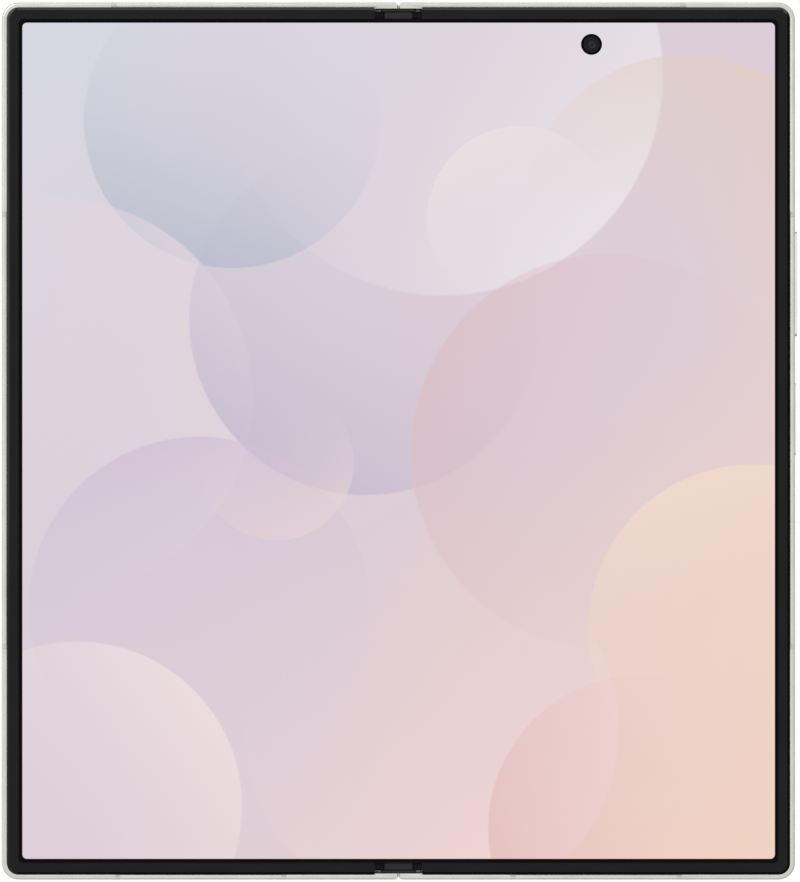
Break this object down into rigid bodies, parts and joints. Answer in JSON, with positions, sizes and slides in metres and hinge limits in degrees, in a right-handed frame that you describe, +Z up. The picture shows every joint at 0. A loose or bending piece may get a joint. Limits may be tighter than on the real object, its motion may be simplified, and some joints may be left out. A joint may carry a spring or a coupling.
{
  "type": "foldable smartphone",
  "caption": "Book-style folding phone, open flat: two framed halves on a geared spine, a flexible inner display with raised rim, side keys, rear cameras and a cover display.",
  "frame": {"origin": "middle of the open phone's outline, at the lowest face, the rear lens rims' rest plane", "axes": "+Z up out of the inner display, +Y to the top edge along the fold, +X to the edge with the keys; the fold line is X = 0"},
  "size_m": [0.1436, 0.1584, 0.0062],
  "materials": {
    "frame_metal": "fine bead-blasted, anodised light silver",
    "island_metal": "satin anodised",
    "antenna_polymer": "satin moulded polymer, a little darker than the frame",
    "rim_polymer": "fine matte elastomer-coated polymer",
    "display_front": "smooth cover film over a lit pastel picture with a black border",
    "backing_steel": "thin rolled sheet",
    "camera_black": "glossy black",
    "back_glass": "satin etched glass over an opaque tint",
    "cover_glass": "polished black glass",
    "lens_metal": "turned, satin",
    "lens_glass": "polished dark glass",
    "flash_plastic": "clear diffuser",
    "battery_wrap": "laminated pouch",
    "board_green": "solder mask",
    "coil_copper": "wound copper foil",
    "port_steel": "drawn stainless steel",
    "module_black": "moulded",
    "motor_steel": "plain",
    "switch_gold": "plated domes on film",
    "key_metal": "satin anodised, bright",
    "panel_dark": "unlit panel",
    "hinge_steel": "sintered steel",
    "spine_metal": "satin anodised",
    "cap_dark": "moulded",
    "spring_steel": "tempered",
    "flex_amber": "polyimide film"
  },
  "bodies": {
    "main_half": {"main_frame": "frame_metal", "main_antenna_breaks": "antenna_polymer", "main_rim": "rim_polymer", "main_display_panel": "display_front", "main_display_backing": "backing_steel", "inner_camera": "camera_black", "back_glass": "back_glass", "camera_island": "island_metal", "lens_rims": "lens_metal", "lens_glasses": "lens_glass", "rear_cameras": "module_black", "flash_lens": "flash_plastic", "main_battery": "battery_wrap", "main_board": "board_green", "charging_coil": "coil_copper", "lower_board": "board_green", "charging_port": "port_steel", "main_speaker": "module_black", "vibration_motor": "motor_steel", "key_switches": "switch_gold", "main_rail_brackets": "hinge_steel"},
    "volume_key": {"volume_key": "key_metal"},
    "power_key": {"power_key": "key_metal"},
    "spine": {"hinge_spine": "spine_metal", "hinge_bases": "hinge_steel", "base_screws": "hinge_steel", "spine_end_caps": "cap_dark", "centre_plate": "backing_steel", "gear_shafts": "hinge_steel", "disc_springs": "spring_steel", "display_bend": "display_front", "hinge_flex_leads": "flex_amber"},
    "cover_half": {"cover_frame": "frame_metal", "cover_antenna_breaks": "antenna_polymer", "cover_rim": "rim_polymer", "cover_side_display_panel": "display_front", "cover_side_display_backing": "backing_steel", "cover_glass": "cover_glass", "cover_display": "panel_dark", "cover_camera": "camera_black", "cover_battery": "battery_wrap", "cover_board": "board_green", "earpiece_speaker": "module_black", "tray_reader": "port_steel", "cover_rail_brackets": "hinge_steel"},
    "card_tray": {"card_tray": "frame_metal"},
    "cover_sync_arm": {"cover_sync_arms": "hinge_steel"},
    "main_sync_arm": {"main_sync_arms": "hinge_steel"},
    "cover_idler": {"cover_idler_gears": "hinge_steel"},
    "main_idler": {"main_idler_gears": "hinge_steel"},
    "main_support": {"main_support_plate": "backing_steel"},
    "cover_support": {"cover_support_plate": "backing_steel"}
  },
  "joints": [
    {"name": "fold_cover", "type": "hinge", "parent": "spine", "child": "cover_half", "pos_m": [-0.00135, 0, 0.0051], "axis": [0, 1, 0], "range_deg": [0, 90], "deforming": ["display_bend", "hinge_flex_leads"]},
    {"name": "fold_spine", "type": "hinge", "parent": "main_half", "child": "spine", "pos_m": [0.00135, 0, 0.0051], "axis": [0, 1, 0], "range_deg": [0, 90]},
    {"name": "cover_arm_turn", "type": "hinge", "parent": "spine", "child": "cover_sync_arm", "pos_m": [-0.0021, 0, 0.00397], "axis": [0, 1, 0], "range_deg": [0, 90]},
    {"name": "cover_idler_turn", "type": "hinge", "parent": "spine", "child": "cover_idler", "pos_m": [-0.0007, 0, 0.00397], "axis": [0, 1, 0], "range_deg": [-90, 0]},
    {"name": "main_idler_turn", "type": "hinge", "parent": "spine", "child": "main_idler", "pos_m": [0.0007, 0, 0.00397], "axis": [0, 1, 0], "range_deg": [0, 90]},
    {"name": "main_arm_turn", "type": "hinge", "parent": "spine", "child": "main_sync_arm", "pos_m": [0.0021, 0, 0.00397], "axis": [0, 1, 0], "range_deg": [-90, 0]},
    {"name": "main_support_tilt", "type": "hinge", "parent": "main_half", "child": "main_support", "pos_m": [0.00445, 0, 0.0052], "axis": [0, 1, 0], "range_deg": [-20, 0]},
    {"name": "cover_support_tilt", "type": "hinge", "parent": "cover_half", "child": "cover_support", "pos_m": [-0.00445, 0, 0.0052], "axis": [0, 1, 0], "range_deg": [0, 20]},
    {"name": "volume_rock", "type": "hinge", "parent": "main_half", "child": "volume_key", "pos_m": [0.06976, 0.02838, 0.0039], "axis": [0, 0, 1], "range_deg": [-1.1, 1.1], "stiffness_Nm_per_rad": 0.2},
    {"name": "power_press", "type": "slide", "parent": "main_half", "child": "power_key", "axis": [-1, 0, 0], "range_m": [0, 0.0002], "stiffness_N_per_m": 1000},
    {"name": "tray_slide", "type": "slide", "parent": "cover_half", "child": "card_tray", "axis": [0, -1, 0], "range_m": [0, 0.0222]}
  ],
  "couplings": [
    {"joint": "fold_spine", "follows": "fold_cover", "ratio": 1},
    {"joint": "cover_arm_turn", "follows": "fold_cover", "ratio": 1},
    {"joint": "cover_idler_turn", "follows": "fold_cover", "ratio": -1},
    {"joint": "main_idler_turn", "follows": "fold_cover", "ratio": 1},
    {"joint": "main_arm_turn", "follows": "fold_cover", "ratio": -1},
    {"joint": "main_support_tilt", "follows": "fold_cover", "ratio": -0.22},
    {"joint": "cover_support_tilt", "follows": "fold_cover", "ratio": 0.22}
  ]
}
